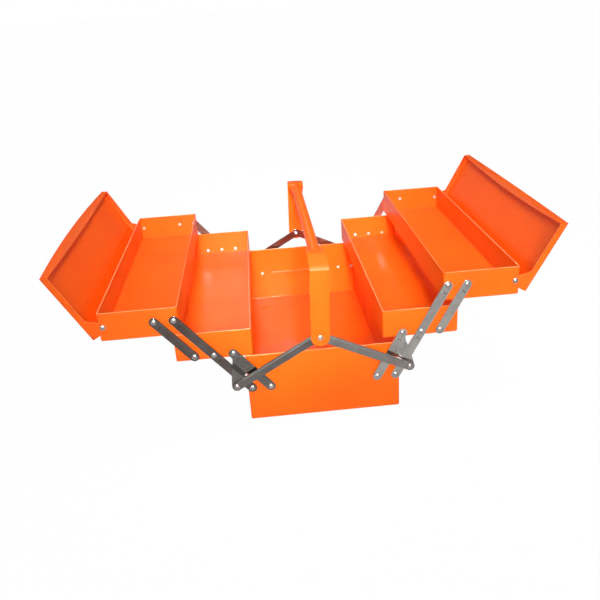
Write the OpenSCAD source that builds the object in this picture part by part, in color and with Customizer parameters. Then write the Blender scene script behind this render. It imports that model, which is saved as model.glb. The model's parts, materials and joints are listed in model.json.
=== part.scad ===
// Two-sided cantilever tool box folded from steel sheet, standing with its trays out.
// Millimetres. The trays swing out to the left (-X) and to the right (+X), the front end
// faces -Y, +Z is up, and the origin is the middle of the base's underside.
// Each side is drawn in its own view: x runs outwards from the middle plane, z runs up,
// and y runs outwards from the outer face of an end wall.

/* [Box] */
// Width of the base, across both stacks of trays
base_w = 200; // [190:1:220]
// Length of the base and of every tray
box_len = 400; // [300:5:500]
// Height of the base
base_h = 96; // [90:1:130]
// Height of each tray
tray_h = 38; // [37:0.5:42]
// How far the stowed trays' outer walls lie inside the base's sides
tray_inset = 1.2; // [0.2:0.1:3]
// Gap from the middle plane to the stowed trays' inner walls
centre_gap = 0.8; // [0.4:0.1:2]
// Gap under a tray that lies on the rim below it
seat_gap = 0.3; // [0.1:0.1:0.5]

/* [Sheet] */
// Thickness of the sheet
sheet_t = 0.8; // [0.6:0.1:1.2]
// Outside radius of the upright folded corners
corner_r = 2.4; // [2:0.2:6]
// Height of the hem folded over inside each rim
hem_h = 5; // [3:0.5:8]
// Distance from the inner pivots to the stiffening rib inside each end wall of the base
rib_end = 17; // [8:1:40]
// Height of the stiffening rib
rib_h = 6; // [4:0.5:10]
// How far the rib stands out of the wall
rib_proud = 2.2; // [1:0.2:3]
// Radius of the round dimples pressed up in the floor
dimple_r = 8; // [5:0.5:12]
// Height of the dimples
dimple_h = 1.5; // [0.8:0.1:2.5]
// Distance of the dimples from the middle plane
dimple_x = 70; // [50:1:80]
// Distance of the dimples from the end walls
dimple_end = 40; // [20:1:60]

/* [Links] */
// Width of the links
link_w = 12; // [10:0.5:13]
// Thickness of the links
link_t = 1.8; // [1.4:0.1:2.2]
// Distance between neighbouring pivots in one wall
pivot_pitch = 24.4; // [22:0.2:27]
// Height of the middle tray's pivots above its underside
middle_pivot_rise = 6.6; // [5:0.2:9]
// Height of the upper tray's pivots above its underside
upper_pivot_rise = 21.2; // [19:0.2:24]
// Height of the raised panel pressed in each link
panel_h = 0.6; // [0.3:0.1:0.9]
// Width of the raised panel
panel_w = 6.4; // [4:0.2:8]
// Distance of the panel's ends from the pivots
panel_end = 11; // [8:0.5:16]
// Lean of the right side's links from upright, as drawn
right_lean_angle = 29.3; // [15:0.1:35]

/* [Cranks] */
// Place of the crank's eye along the crank, from its lower pivot
eye_along = 33.4; // [28:0.2:38]
// Distance of the eye outwards from the crank's centre line
eye_out = 29; // [27:0.2:32]
// Radius of the metal round the eye
eye_r = 6.5; // [5:0.1:7]

/* [Rivets] */
// Radius of the rivets' shanks
shank_r = 2; // [1.6:0.1:2.4]
// Radius of the domed heads
head_r = 3.6; // [3:0.1:4.2]
// Height of the domed heads
head_h = 1.6; // [1.2:0.1:2]
// Radius of the closed tails
tail_r = 3; // [2.6:0.1:3.6]
// Height of the closed tails
tail_h = 0.9; // [0.6:0.1:1]
// Radius of the spacer washers
spacer_r = 5; // [4:0.1:5.8]
// Thickness of the spacer washers
spacer_t = 1.6; // [1.5:0.1:2.2]
// Gap from a closed tail to the fold of the nearest corner
corner_gap = 0.1; // [0.1:0.1:1]
// Radial clearance of a shank in its hole
hole_gap = 0.06; // [0.03:0.01:0.1]
// Free play between stacked pieces on a rivet
play = 0.1; // [0.05:0.01:0.15]

/* [Lids] */
// Angle from closed to fully open
lid_open = 119; // [112:0.5:124]
// Distance of the lid's hinge below the rim
hinge_drop = 18.7; // [15:0.1:21]
// Depth of the lid's end and front flanges
lid_flange = 8.5; // [7:0.5:9.5]
// Slant of the lid's front flange from upright
lid_slant = 32; // [30:0.5:38]
// Radius of the ear round the lid's hinge
ear_r = 5.6; // [5:0.1:5.8]

/* [Handle] */
// Height of the handle's pivots with both sides fully out
handle_low = 114; // [90:1:125]
// Height of the handle above its pivots
handle_rise = 96; // [80:1:120]
// Lean of the handle to the right of upright, as drawn
handle_lean_angle = 2; // [-20:0.5:20]
// Width of the handle's strap
strap_w = 24; // [18:1:30]
// Thickness of the handle's strap
strap_t = 1.8; // [1.4:0.1:2.4]
// Outside radius of the strap's bends
strap_bend = 6; // [4:0.5:10]
// Length of the full-width flat beyond each bend
flat_len = 26; // [10:1:40]
// Length of the taper from the flat to the grip
taper_len = 40; // [20:1:50]
// Width of the rolled grip
grip_w = 13; // [11:0.5:17]
// Depth of the rolled grip
grip_d = 8; // [7.5:0.5:12]

/* [Hidden] */
$fn = 48;

left = -1;
right = 1;
front = -1;
rear = 1;
// Overrun of cuts past the faces that they open
over = 1;
// Gaps between the stacked layers outside an end wall
arm_gap = 0.3;
link_gap = 0.2;
// Gaps round a closed lid
lid_end_gap = 0.35;
lid_back_gap = 0.8;
lid_rim_gap = 0.3;
lid_front_set = 0.3;
lid_stop_gap = 0.1;
lid_flange_gap = 0.5;
// Where the ear's slope starts on the lid's end flange, and where it meets the ear
ear_spread = 19;
ear_angle = 215;

// The pivots next to a corner clear its fold: the base's outer pivots, the upper tray's
// inner pivot and the lid's hinge
corner_inset = corner_r + tail_r + corner_gap;
outer_pivot_x = base_w / 2 - corner_inset;
inner_pivot_x = outer_pivot_x - pivot_pitch;

// Swing of the links, equal both ways from upright. Stowed, each tray lies on the one below
tray_w = base_w / 2 - centre_gap - tray_inset;
half_swing = (outer_pivot_x - centre_gap - corner_inset) / 2;
link_rise = tray_h + seat_gap + upper_pivot_rise - middle_pivot_rise;
link_len = norm([half_swing, link_rise]);
full_lean = atan2(half_swing, link_rise);
pivot_z = base_h + seat_gap + middle_pivot_rise - link_rise;
middle_pivot_in = inner_pivot_x - half_swing - centre_gap;

// Places in a side's own view, as [outwards, up]
base_inner = [inner_pivot_x, pivot_z];
base_outer = [outer_pivot_x, pivot_z];
pitch = [pivot_pitch, 0];
function lean(side) = side < 0 ? full_lean : right_lean_angle;
function swing(side) = link_len * [sin(lean(side)), cos(lean(side))];
function middle_org(side) = base_inner + swing(side) - [middle_pivot_in, middle_pivot_rise];
function upper_org(side) = base_outer + 2 * swing(side) - [corner_inset, upper_pivot_rise];
middle_pivots = [for (i = [0 : 2]) [middle_pivot_in, middle_pivot_rise] + i * pitch];
upper_pivots = [for (i = [0 : 1]) [corner_inset, upper_pivot_rise] + i * pitch];
lid_hinge = [tray_w - corner_inset, tray_h - hinge_drop];

// The crank's eye, and the handle's pivot where the two handle links meet
function turned(p, a) = [p[0] * cos(a) + p[1] * sin(a), p[1] * cos(a) - p[0] * sin(a)];
function eye_at(angle) = base_inner + turned([eye_out, eye_along], angle);
function opposite(p) = [-p[0], p[1]];
eye_low = eye_at(full_lean);
handle_link_len = norm([eye_low[0], handle_low - eye_low[1]]);
left_eye = opposite(eye_at(lean(left)));
right_eye = eye_at(lean(right));
eye_span = right_eye - left_eye;
eye_half = norm(eye_span) / 2;
handle_lift = sqrt(pow(handle_link_len, 2) - pow(eye_half, 2));
handle_pin = (left_eye + right_eye) / 2 + handle_lift * [-eye_span[1], eye_span[0]] / norm(eye_span);

// Layers outside an end wall, as distances from its outer face
link_y = spacer_t + play;
link_top = link_y + link_t;
arm_y = link_top + play + head_h + arm_gap;
arm_top = arm_y + link_t;
left_bar_y = arm_top + play;
right_bar_y = left_bar_y + link_t + panel_h + link_gap;
strap_y = right_bar_y + link_t + panel_h + link_gap;
strap_top = strap_y + strap_t;
function bar_y(side) = side < 0 ? left_bar_y : right_bar_y;

// The rib's straight length, between its round ends
rib_len = 2 * (inner_pivot_x - rib_end) - rib_h;

// The crank's web rises from the link's edge to the arm, clear of the long link under it
web_in = link_w / 2 - sheet_t;
web_out = pivot_pitch * cos(full_lean) - link_w / 2 - sheet_t;
// Corners of the arm, as shares of the crank's length and of the eye's distance out
arm_foot_shares = [[0.54, 0.1], [0.54, 0.57]];
arm_head_shares = [[0.77, 0.66], [0.93, 0.22], [0.95, 0.1]];
eye_inner_angle = 195;
eye_outer_angle = 46;

// A closed lid, seen from its hinge
lid_in = norm([corner_inset, hinge_drop]) + lid_rim_gap;
lid_top = lid_in + sheet_t;
lid_back = corner_inset + lid_back_gap + sheet_t;
lid_front = tray_w - corner_inset - lid_front_set;
lid_low = lid_top - lid_flange;
lid_fold = lid_flange * tan(lid_slant);
back_low = (corner_inset + lid_stop_gap - lid_back * cos(lid_open)) / sin(lid_open);

// Turns a side's own view into the box's frame
module on_side(side) {
    if (side < 0) mirror([1, 0, 0]) children();
    else children();
}

// Moves an outline's thickness to the outside of an end wall
module on_end(end) {
    if (end < 0) mirror([0, 1, 0]) translate([0, box_len / 2, 0]) children();
    else translate([0, box_len / 2, 0]) children();
}

// An outline in x and z made into a plate that starts at y
module plate(y, t) {
    translate([0, y + t, 0]) rotate([90, 0, 0]) linear_extrude(t) children();
}

module round_rect(x0, x1, length, r) {
    translate([x0 + r, -length / 2]) square([x1 - x0 - 2 * r, length]);
    translate([x0, r - length / 2]) square([x1 - x0, length - 2 * r]);
    for (x = [x0 + r, x1 - r], y = [r - length / 2, length / 2 - r]) translate([x, y]) circle(r);
}

// An open box of sheet from x = 0 to w, hemmed inside its rim; inner_hem is false where
// the wall at x = 0 ends plain
module pan(w, h, inner_hem = true) {
    hem = 2 * sheet_t;
    hem_in = inner_hem ? hem : sheet_t;
    difference() {
        linear_extrude(h) round_rect(0, w, box_len, corner_r);
        translate([0, 0, sheet_t]) linear_extrude(h - sheet_t - hem_h)
            round_rect(sheet_t, w - sheet_t, box_len - hem, corner_r - sheet_t);
        translate([0, 0, h - hem_h - sheet_t]) linear_extrude(hem_h + sheet_t + over)
            round_rect(hem_in, w - hem, box_len - 2 * hem, corner_r - hem_in);
    }
}

// Rivet holes through both end walls
module end_holes(places) {
    for (p = places) translate([p[0], -box_len / 2 - over, p[1]])
        rotate([-90, 0, 0]) cylinder(r = shank_r + hole_gap, h = box_len + 2 * over);
}

module dome() {
    ball_r = (pow(head_r, 2) + pow(head_h, 2)) / (2 * head_h);
    intersection() {
        cylinder(r = head_r, h = head_h);
        translate([0, 0, head_h - ball_r]) sphere(ball_r);
    }
}

// A rivet along y that clamps what lies from y0 to y1, its tail at y0
module rivet(p, y0, y1, tail = true) {
    translate([p[0], y0, p[1]]) rotate([-90, 0, 0]) {
        if (tail) translate([0, 0, -tail_h]) cylinder(r = tail_r, h = tail_h);
        cylinder(r = shank_r, h = y1 - y0);
        translate([0, 0, y1 - y0]) dome();
    }
}

module rivets(places, y0, y1) {
    for (end = [front, rear], p = places) on_end(end) rivet(p, y0, y1);
}

module washer(p, y0, t) {
    translate([p[0], y0, p[1]]) rotate([-90, 0, 0]) difference() {
        cylinder(r = spacer_r, h = t);
        translate([0, 0, -over]) cylinder(r = shank_r + hole_gap, h = t + 2 * over);
    }
}

module washers(places, y0, t) {
    for (end = [front, rear], p = places) on_end(end) washer(p, y0, t);
}

module slot(length, w) {
    translate([-w / 2, 0]) square([w, length]);
    for (z = [0, length]) translate([0, z]) circle(w / 2);
}

// A link from the first to the last of the pivots, which lie up its centre line
module link(pivots, y) {
    last = len(pivots) - 1;
    difference() {
        union() {
            plate(y, link_t) slot(pivots[last], link_w);
            plate(y + link_t - play, panel_h + play)
                for (i = [1 : last]) translate([0, pivots[i - 1] + panel_end])
                    slot(pivots[i] - pivots[i - 1] - 2 * panel_end, panel_w);
        }
        for (z = pivots) pin_hole([0, z]);
    }
}

module pin_hole(p) {
    translate([p[0], 0, p[1]]) rotate([-90, 0, 0]) cylinder(r = shank_r + hole_gap, h = strap_top);
}

// Stands a link on a pivot, leaning outwards by an angle
module stand(p, angle) {
    translate([p[0], 0, p[1]]) rotate([0, angle, 0]) children();
}

module base_box() {
    color([1, 0.42, 0.06]) difference() {
        union() {
            translate([-base_w / 2, 0, 0]) pan(base_w, base_h);
            for (end = [front, rear]) on_end(end) plate(-sheet_t - rib_proud, rib_proud + sheet_t / 2)
                translate([0, pivot_z]) rotate(90) translate([0, -rib_len / 2]) slot(rib_len, rib_h);
            floor_dimples(dimple_r, dimple_h + sheet_t);
        }
        for (side = [left, right]) on_side(side) end_holes([base_inner, base_outer]);
        translate([0, 0, -over]) floor_dimples(dimple_r - sheet_t, dimple_h + over);
    }
}

module floor_dimples(r, h) {
    y = box_len / 2 - dimple_end;
    for (x = [-dimple_x, dimple_x], side_y = [-y, y]) translate([x, side_y, 0])
        cylinder(r1 = r, r2 = r - sheet_t, h = h);
}

module base_rivets() {
    color("silver") for (side = [left, right]) on_side(side)
        rivets([base_inner, base_outer], -sheet_t, link_top + play);
}

module base_washers() {
    color("gray") for (side = [left, right]) on_side(side)
        washers([base_inner, base_outer], 0, spacer_t);
}

module at_middle(side) {
    org = middle_org(side);
    on_side(side) translate([org[0], 0, org[1]]) children();
}

module at_upper(side) {
    org = upper_org(side);
    on_side(side) translate([org[0], 0, org[1]]) children();
}

module middle_tray(side) {
    color([1, 0.45, 0.08]) at_middle(side) difference() {
        pan(tray_w, tray_h);
        end_holes(middle_pivots);
    }
}

module middle_rivets(side) {
    color("silver") at_middle(side) rivets(middle_pivots, -sheet_t, link_top + play);
}

module middle_washers(side) {
    color("gray") at_middle(side) washers(middle_pivots, 0, spacer_t);
}

module upper_tray(side) {
    color([1, 0.45, 0.08]) at_upper(side) difference() {
        pan(tray_w, tray_h, inner_hem = false);
        end_holes(concat(upper_pivots, [lid_hinge]));
    }
}

module upper_rivets(side) {
    color("silver") at_upper(side) rivets(upper_pivots, -sheet_t, link_top + play);
}

module upper_washers(side) {
    color("gray") at_upper(side) washers(upper_pivots, 0, spacer_t);
}

module hinge_rivets(side) {
    color("silver") at_upper(side) rivets([lid_hinge], -sheet_t, lid_end_gap + sheet_t + play);
}

// A lid about its hinge, closed: the tray lies inwards, at negative x
module lid_shape() {
    half = box_len / 2 + lid_end_gap;
    front_half = box_len / 2 - 2 * sheet_t - lid_flange_gap;
    plate(-half, 2 * half) polygon([
        [-lid_front, lid_in], [lid_back - sheet_t, lid_in], [lid_back - sheet_t, back_low],
        [lid_back, back_low], [lid_back, lid_top], [-lid_front, lid_top]
    ]);
    plate(-front_half, 2 * front_half) polygon([
        [-lid_front, lid_top], [lid_fold - lid_front, lid_low],
        [lid_fold - lid_front + sheet_t, lid_low], [sheet_t - lid_front, lid_top]
    ]);
    for (end = [front, rear]) on_end(end) plate(lid_end_gap, sheet_t) difference() {
        union() {
            circle(ear_r);
            polygon([
                [lid_back, lid_top], [-lid_front, lid_top], [lid_fold - lid_front, lid_low],
                [-ear_spread, lid_low], ear_r * [cos(ear_angle), sin(ear_angle)],
                [ear_r, 0], [lid_back, lid_low]
            ]);
        }
        circle(shank_r + hole_gap);
    }
}

module lid(side) {
    color([1, 0.38, 0.05]) at_upper(side) translate([lid_hinge[0], 0, lid_hinge[1]])
        rotate([0, lid_open, 0]) lid_shape();
}

// The arm of a crank: a web that folds out past the long link, and a flat with the eye
module crank_arm() {
    eye = [eye_out, eye_along];
    reach = eye_out + eye_r + over;
    function tangent(a) = eye + eye_r * [sin(a), cos(a)];
    function corner(s) = [s[1] * eye_out, s[0] * link_len];
    intersection() {
        linear_extrude(link_len) polygon([
            [0, link_y], [web_in, link_y], [web_out, arm_y], [reach, arm_y],
            [reach, arm_top], [web_out, arm_top], [web_in, link_top], [0, link_top]
        ]);
        plate(0, strap_top) union() {
            translate(eye) circle(eye_r);
            polygon(concat(
                [for (s = arm_foot_shares) corner(s)],
                [tangent(eye_inner_angle), eye, tangent(eye_outer_angle)],
                [for (s = arm_head_shares) corner(s)]
            ));
        }
    }
}

module crank(side, end) {
    color([0.5, 0.48, 0.46]) on_side(side) on_end(end) stand(base_inner, lean(side)) difference() {
        union() {
            link([0, link_len], link_y);
            crank_arm();
        }
        pin_hole([eye_out, eye_along]);
        pin_hole([0, 0]);
        pin_hole([0, link_len]);
    }
}

module crank_rivets(side) {
    color("silver") on_side(side)
        rivets([eye_at(lean(side))], arm_y, bar_y(side) + link_t + play);
}

module right_crank_washers() {
    color("gray") on_side(right)
        washers([right_eye], arm_top + play / 2, right_bar_y - arm_top - play);
}

module long_link(side, end) {
    color([0.5, 0.48, 0.46]) on_side(side) on_end(end) stand(base_outer, lean(side))
        link([0, link_len, 2 * link_len], link_y);
}

module short_link(side, end) {
    color([0.5, 0.48, 0.46]) on_side(side) on_end(end)
        stand(base_outer + swing(side) + pitch, lean(side)) link([0, link_len], link_y);
}

module handle_link(side, end) {
    eye = eye_at(lean(side));
    pin = side < 0 ? opposite(handle_pin) : handle_pin;
    color([0.5, 0.48, 0.46]) on_side(side) on_end(end)
        stand(eye, atan2(pin[0] - eye[0], pin[1] - eye[1])) link([0, handle_link_len], bar_y(side));
}

// The closed tails of the handle's rivets, held in the left handle links' eyes
module handle_tails() {
    color("silver") for (end = [front, rear]) on_end(end)
        translate([handle_pin[0], left_bar_y - tail_h, handle_pin[1]]) rotate([-90, 0, 0]) {
            cylinder(r = tail_r, h = tail_h);
            cylinder(r = shank_r, h = tail_h + link_t);
        }
}

module handle_pins() {
    color("silver") for (end = [front, rear]) on_end(end)
        rivet(handle_pin, strap_y, strap_top + play, tail = false);
}

// Half of the handle's top, from the bend at one end to the middle of the grip
module handle_top() {
    length = box_len / 2 + strap_top - strap_bend;
    taper_end = length - flat_len - taper_len;
    translate([0, 0, handle_rise - strap_t]) linear_extrude(strap_t) polygon([
        [strap_w / 2, length], [strap_w / 2, length - flat_len], [grip_w / 2, taper_end],
        [-grip_w / 2, taper_end], [-strap_w / 2, length - flat_len], [-strap_w / 2, length]
    ]);
    plate(0, taper_end) translate([0, handle_rise]) grip_section();
}

module arch(r, h) {
    translate([0, -r]) circle(r);
    translate([-r, -h]) square([2 * r, h - r]);
}

// The grip's rolled section, open below, its top at z = 0
module grip_section() {
    intersection() {
        translate([-grip_w / 2, -grip_d]) square([grip_w, grip_d]);
        difference() {
            arch(grip_w / 2, grip_w / 2 + grip_d);
            translate([0, -strap_t]) arch(grip_w / 2 - strap_t, grip_w / 2 + grip_d);
        }
    }
}

module handle_leg() {
    difference() {
        union() {
            plate(strap_y, strap_t) union() {
                circle(strap_w / 2);
                translate([-strap_w / 2, 0]) square([strap_w, handle_rise - strap_bend]);
            }
            translate([-strap_w / 2, strap_top - strap_bend, handle_rise - strap_bend])
                rotate([90, 0, 90]) rotate_extrude(angle = 90)
                    translate([strap_bend - strap_t, 0]) square([strap_t, strap_w]);
        }
        pin_hole([0, 0]);
    }
}

module handle() {
    color([1, 0.47, 0.1]) stand(handle_pin, handle_lean_angle) union() {
        for (end = [front, rear]) on_end(end) handle_leg();
        handle_top();
        mirror([0, 1, 0]) handle_top();
    }
}

base_box();
base_rivets();  // base_pivot_rivets
base_washers();  // base_spacers

middle_tray(left);  // left_middle_tray
middle_rivets(left);  // left_middle_tray_rivets
middle_washers(left);  // left_middle_tray_spacers
upper_tray(left);  // left_upper_tray
upper_rivets(left);  // left_upper_tray_rivets
upper_washers(left);  // left_upper_tray_spacers
lid(left);  // left_lid
hinge_rivets(left);  // left_lid_hinge_rivets
crank(left, front);  // left_front_crank
crank(left, rear);  // left_rear_crank
crank_rivets(left);  // left_crank_rivets
long_link(left, front);  // left_front_long_link
long_link(left, rear);  // left_rear_long_link
short_link(left, front);  // left_front_short_link
short_link(left, rear);  // left_rear_short_link
handle_link(left, front);  // left_front_handle_link
handle_link(left, rear);  // left_rear_handle_link
handle_tails();  // handle_rivet_tails

middle_tray(right);  // right_middle_tray
middle_rivets(right);  // right_middle_tray_rivets
middle_washers(right);  // right_middle_tray_spacers
upper_tray(right);  // right_upper_tray
upper_rivets(right);  // right_upper_tray_rivets
upper_washers(right);  // right_upper_tray_spacers
lid(right);  // right_lid
hinge_rivets(right);  // right_lid_hinge_rivets
crank(right, front);  // right_front_crank
crank(right, rear);  // right_rear_crank
crank_rivets(right);  // right_crank_rivets
right_crank_washers();  // right_crank_spacers
long_link(right, front);  // right_front_long_link
long_link(right, rear);  // right_rear_long_link
short_link(right, front);  // right_front_short_link
short_link(right, rear);  // right_rear_short_link
handle_link(right, front);  // right_front_handle_link
handle_link(right, rear);  // right_rear_handle_link

handle();
handle_pins();  // handle_rivets
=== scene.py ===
import json
from math import atan2, cos, pi, radians, sin, sqrt, tan

import bmesh
import bpy
from mathutils import Matrix, Vector


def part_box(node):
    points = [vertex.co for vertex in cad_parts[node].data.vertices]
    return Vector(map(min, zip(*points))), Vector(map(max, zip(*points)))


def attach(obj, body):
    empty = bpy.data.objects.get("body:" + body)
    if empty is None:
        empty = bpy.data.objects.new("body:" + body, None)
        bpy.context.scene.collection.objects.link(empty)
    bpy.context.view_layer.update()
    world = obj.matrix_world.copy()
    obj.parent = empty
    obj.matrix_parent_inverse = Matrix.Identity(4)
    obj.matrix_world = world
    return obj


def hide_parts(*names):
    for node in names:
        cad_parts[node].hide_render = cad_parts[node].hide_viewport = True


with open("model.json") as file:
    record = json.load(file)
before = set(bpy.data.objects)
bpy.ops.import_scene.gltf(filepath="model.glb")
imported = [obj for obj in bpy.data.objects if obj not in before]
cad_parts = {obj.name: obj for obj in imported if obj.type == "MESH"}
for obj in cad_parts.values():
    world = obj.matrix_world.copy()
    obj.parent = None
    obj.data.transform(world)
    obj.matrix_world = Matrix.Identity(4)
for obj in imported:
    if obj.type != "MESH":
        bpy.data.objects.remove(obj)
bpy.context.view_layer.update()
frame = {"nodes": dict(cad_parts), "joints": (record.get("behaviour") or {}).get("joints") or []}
mm = 0.001
# Places this near count as the same, and directions above this share as facing an axis
tiny, facing = 0.01 * mm, 0.9
print("frame loaded:", len(frame["nodes"]), "nodes")

# Every piece is drawn in the view of one side: x outwards, y outwards from an end wall, z up
sides = {"left": -1, "right": 1}
ends = {"front": -1, "rear": 1}
boxLow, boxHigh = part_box("base_box")
halfLength = boxHigh.y
pins = {j["name"]: Vector(j["pos_m"]) for j in frame["joints"] if "pos_m" in j}

# Distances of the stacked layers from an end wall's outer face
layers = {
    "link": 1.7 * mm, "strip": 1.8 * mm, "arm": 5.5 * mm, "armWasher": 7.35 * mm,
    "leftBar": 7.4 * mm, "rightBar": 10.0 * mm, "strap": 12.6 * mm, "play": 0.1 * mm,
}


def pinOf(side, joint):
    pin = pins[side + "_" + joint]
    return Vector((pin.x * sides[side], 0, pin.z))


def sideMatrix(side, end="rear"):
    sx, sy = sides[side], ends[end]
    return Matrix(((sx, 0, 0, 0), (0, sy, 0, sy * halfLength), (0, 0, 1, 0), (0, 0, 0, 1)))


def stand(pin, lean=0.0, out=0.0):
    return Matrix.Translation((pin.x, out, pin.z)) @ Matrix.Rotation(lean, 4, "Y")


def deselectAll():
    if bpy.context.object and bpy.context.object.mode != "OBJECT":
        bpy.ops.object.mode_set(mode="OBJECT")
    bpy.ops.object.select_all(action="DESELECT")


def makeActive(*objects):
    deselectAll()
    for item in objects:
        item.select_set(True)
    bpy.context.view_layer.objects.active = objects[0]


def openMesh(piece):
    makeActive(piece)
    bpy.ops.object.mode_set(mode="EDIT")


def closeMesh():
    bpy.ops.object.mode_set(mode="OBJECT")


def pick(piece, kind, test):
    # Selects what passes the test, which gets a place and a normal, or an edge's direction
    bpy.ops.mesh.select_all(action="DESELECT")
    bpy.ops.mesh.select_mode(type=kind)
    mesh = bmesh.from_edit_mesh(piece.data)
    if kind == "FACE":
        found = [f for f in mesh.faces if test(f.calc_center_median(), f.normal)]
    elif kind == "EDGE":
        found = [e for e in mesh.edges if test(
            (e.verts[0].co + e.verts[1].co) / 2, (e.verts[1].co - e.verts[0].co).normalized())]
    else:
        found = [v for v in mesh.verts if test(v.co, v.normal)]
    for item in found:
        item.select_set(True)
    mesh.select_flush_mode()
    bmesh.update_edit_mesh(piece.data)


def reshape(piece, move):
    # Moves each vertex to where the function says
    mesh = bmesh.from_edit_mesh(piece.data)
    for vertex in mesh.verts:
        vertex.co = move(vertex.co.copy())
    bmesh.update_edit_mesh(piece.data)


def cutAcross(axis, places):
    # Cuts the whole open mesh at places along an axis
    for place in places:
        bpy.ops.mesh.select_all(action="SELECT")
        spot, normal = Vector((0, 0, 0)), Vector((0, 0, 0))
        spot[axis], normal[axis] = place, 1
        bpy.ops.mesh.bisect(plane_co=spot, plane_no=normal)


def modify(piece, kind, **settings):
    makeActive(piece)
    modifier = piece.modifiers.new(kind.title(), kind)
    for name, value in settings.items():
        setattr(modifier, name, value)
    bpy.ops.object.modifier_apply(modifier=modifier.name)


def merge(piece, *others, operation="UNION"):
    for other in others:
        modify(piece, "BOOLEAN", operation=operation, object=other, solver="EXACT")
        bpy.data.objects.remove(other)


def startCube(name, low, high):
    deselectAll()
    low, high = Vector(low), Vector(high)
    bpy.ops.mesh.primitive_cube_add(size=1, location=(low + high) / 2, scale=high - low)
    cube = bpy.context.object
    cube.name = name
    bpy.ops.object.transform_apply(location=True, rotation=True, scale=True)
    return cube


def startStrip(name, length, radius, low, high, steps=32):
    # A strip with round ends from z = 0 to its length, its thickness along y
    deselectAll()
    bpy.ops.mesh.primitive_cylinder_add(
        vertices=steps, radius=radius, depth=high - low,
        location=(0, (low + high) / 2, 0), rotation=(pi / 2, pi / steps, 0))
    strip = bpy.context.object
    strip.name = name
    bpy.ops.object.transform_apply(location=True, rotation=True, scale=True)
    openMesh(strip)
    pick(strip, "VERT", lambda place, n: place.z > 0)
    bpy.ops.transform.translate(value=(0, 0, length))
    closeMesh()
    return strip


def drawLine(name, points):
    # One vertex pulled from point to point
    deselectAll()
    bpy.ops.mesh.primitive_plane_add(size=mm, location=points[0])
    line = bpy.context.object
    line.name = name
    bpy.ops.object.transform_apply(location=True, rotation=True, scale=True)
    openMesh(line)
    bpy.ops.mesh.select_mode(type="VERT")
    bpy.ops.mesh.select_all(action="SELECT")
    bpy.ops.mesh.merge(type="CENTER")
    for last, point in zip(points, points[1:]):
        step = Vector(point) - Vector(last)
        bpy.ops.mesh.extrude_vertices_move(TRANSFORM_OT_translate={"value": step})
    return line


def drawFace(name, points):
    line = drawLine(name, points)
    bpy.ops.mesh.select_all(action="SELECT")
    bpy.ops.mesh.edge_face_add()
    closeMesh()
    return line


def lathe(name, profile, steps=24):
    # A profile of (radius, height) turned about the y axis
    piece = drawLine(name, [(r * mm, h * mm, 0) for r, h in profile])
    bpy.ops.mesh.select_all(action="SELECT")
    bpy.ops.mesh.spin(steps=steps, angle=2 * pi, center=(0, 0, 0), axis=(0, 1, 0))
    bpy.ops.mesh.select_all(action="SELECT")
    bpy.ops.mesh.remove_doubles(threshold=0.1 * tiny)
    bpy.ops.mesh.normals_make_consistent(inside=False)
    closeMesh()
    return piece


def arc(centre, radius, start, stop, steps):
    turns = [radians(start + (stop - start) * i / steps) for i in range(steps + 1)]
    return [(centre[0] + radius * cos(t), centre[1] + radius * sin(t)) for t in turns]


def roundEdges(piece, width, steps=2, limit=55):
    modify(piece, "BEVEL", width=width, segments=steps, limit_method="ANGLE",
           angle_limit=radians(limit), miter_outer="MITER_ARC")


def copyTo(template, name, matrix):
    piece = template.copy()
    piece.data = template.data.copy()
    piece.name = name
    bpy.context.collection.objects.link(piece)
    piece.data.transform(matrix)
    if matrix.determinant() < 0:
        piece.data.flip_normals()
    return piece


def joinAll(name, parts):
    makeActive(*parts)
    if len(parts) > 1:
        bpy.ops.object.join()
    parts[0].name = name
    return parts[0]


def finishPiece(piece, body, slotName, material, *nodes, angle=38):
    makeActive(piece)
    bpy.ops.object.shade_smooth_by_angle(angle=radians(angle))
    modify(piece, "WEIGHTED_NORMAL", keep_sharp=True, weight=60)
    piece.data.materials.clear()
    piece.data.materials.append(material)
    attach(piece, body)
    if nodes:
        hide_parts(*nodes)


def markFaces(piece, name, test, share=1.0):
    # Some faces carry an attribute that the paint reads
    mark = piece.data.attributes.get(name) or piece.data.attributes.new(name, "FLOAT", "CORNER")
    for face in piece.data.polygons:
        if test(face.center, face.normal):
            for corner in face.loop_indices:
                mark.data[corner].value = share


class Wire:
    # A node's output, on which expressions can be written
    def __init__(self, paint, socket):
        self.paint, self.socket = paint, socket

    def join(self, operation, first, second):
        return self.paint.node("ShaderNodeMath", {"operation": operation}, {0: first, 1: second})

    def __add__(self, other):
        return self.join("ADD", self, other)

    def __radd__(self, other):
        return self.join("ADD", other, self)

    def __sub__(self, other):
        return self.join("SUBTRACT", self, other)

    def __rsub__(self, other):
        return self.join("SUBTRACT", other, self)

    def __mul__(self, other):
        return self.join("MULTIPLY", self, other)

    def __rmul__(self, other):
        return self.join("MULTIPLY", other, self)


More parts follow.
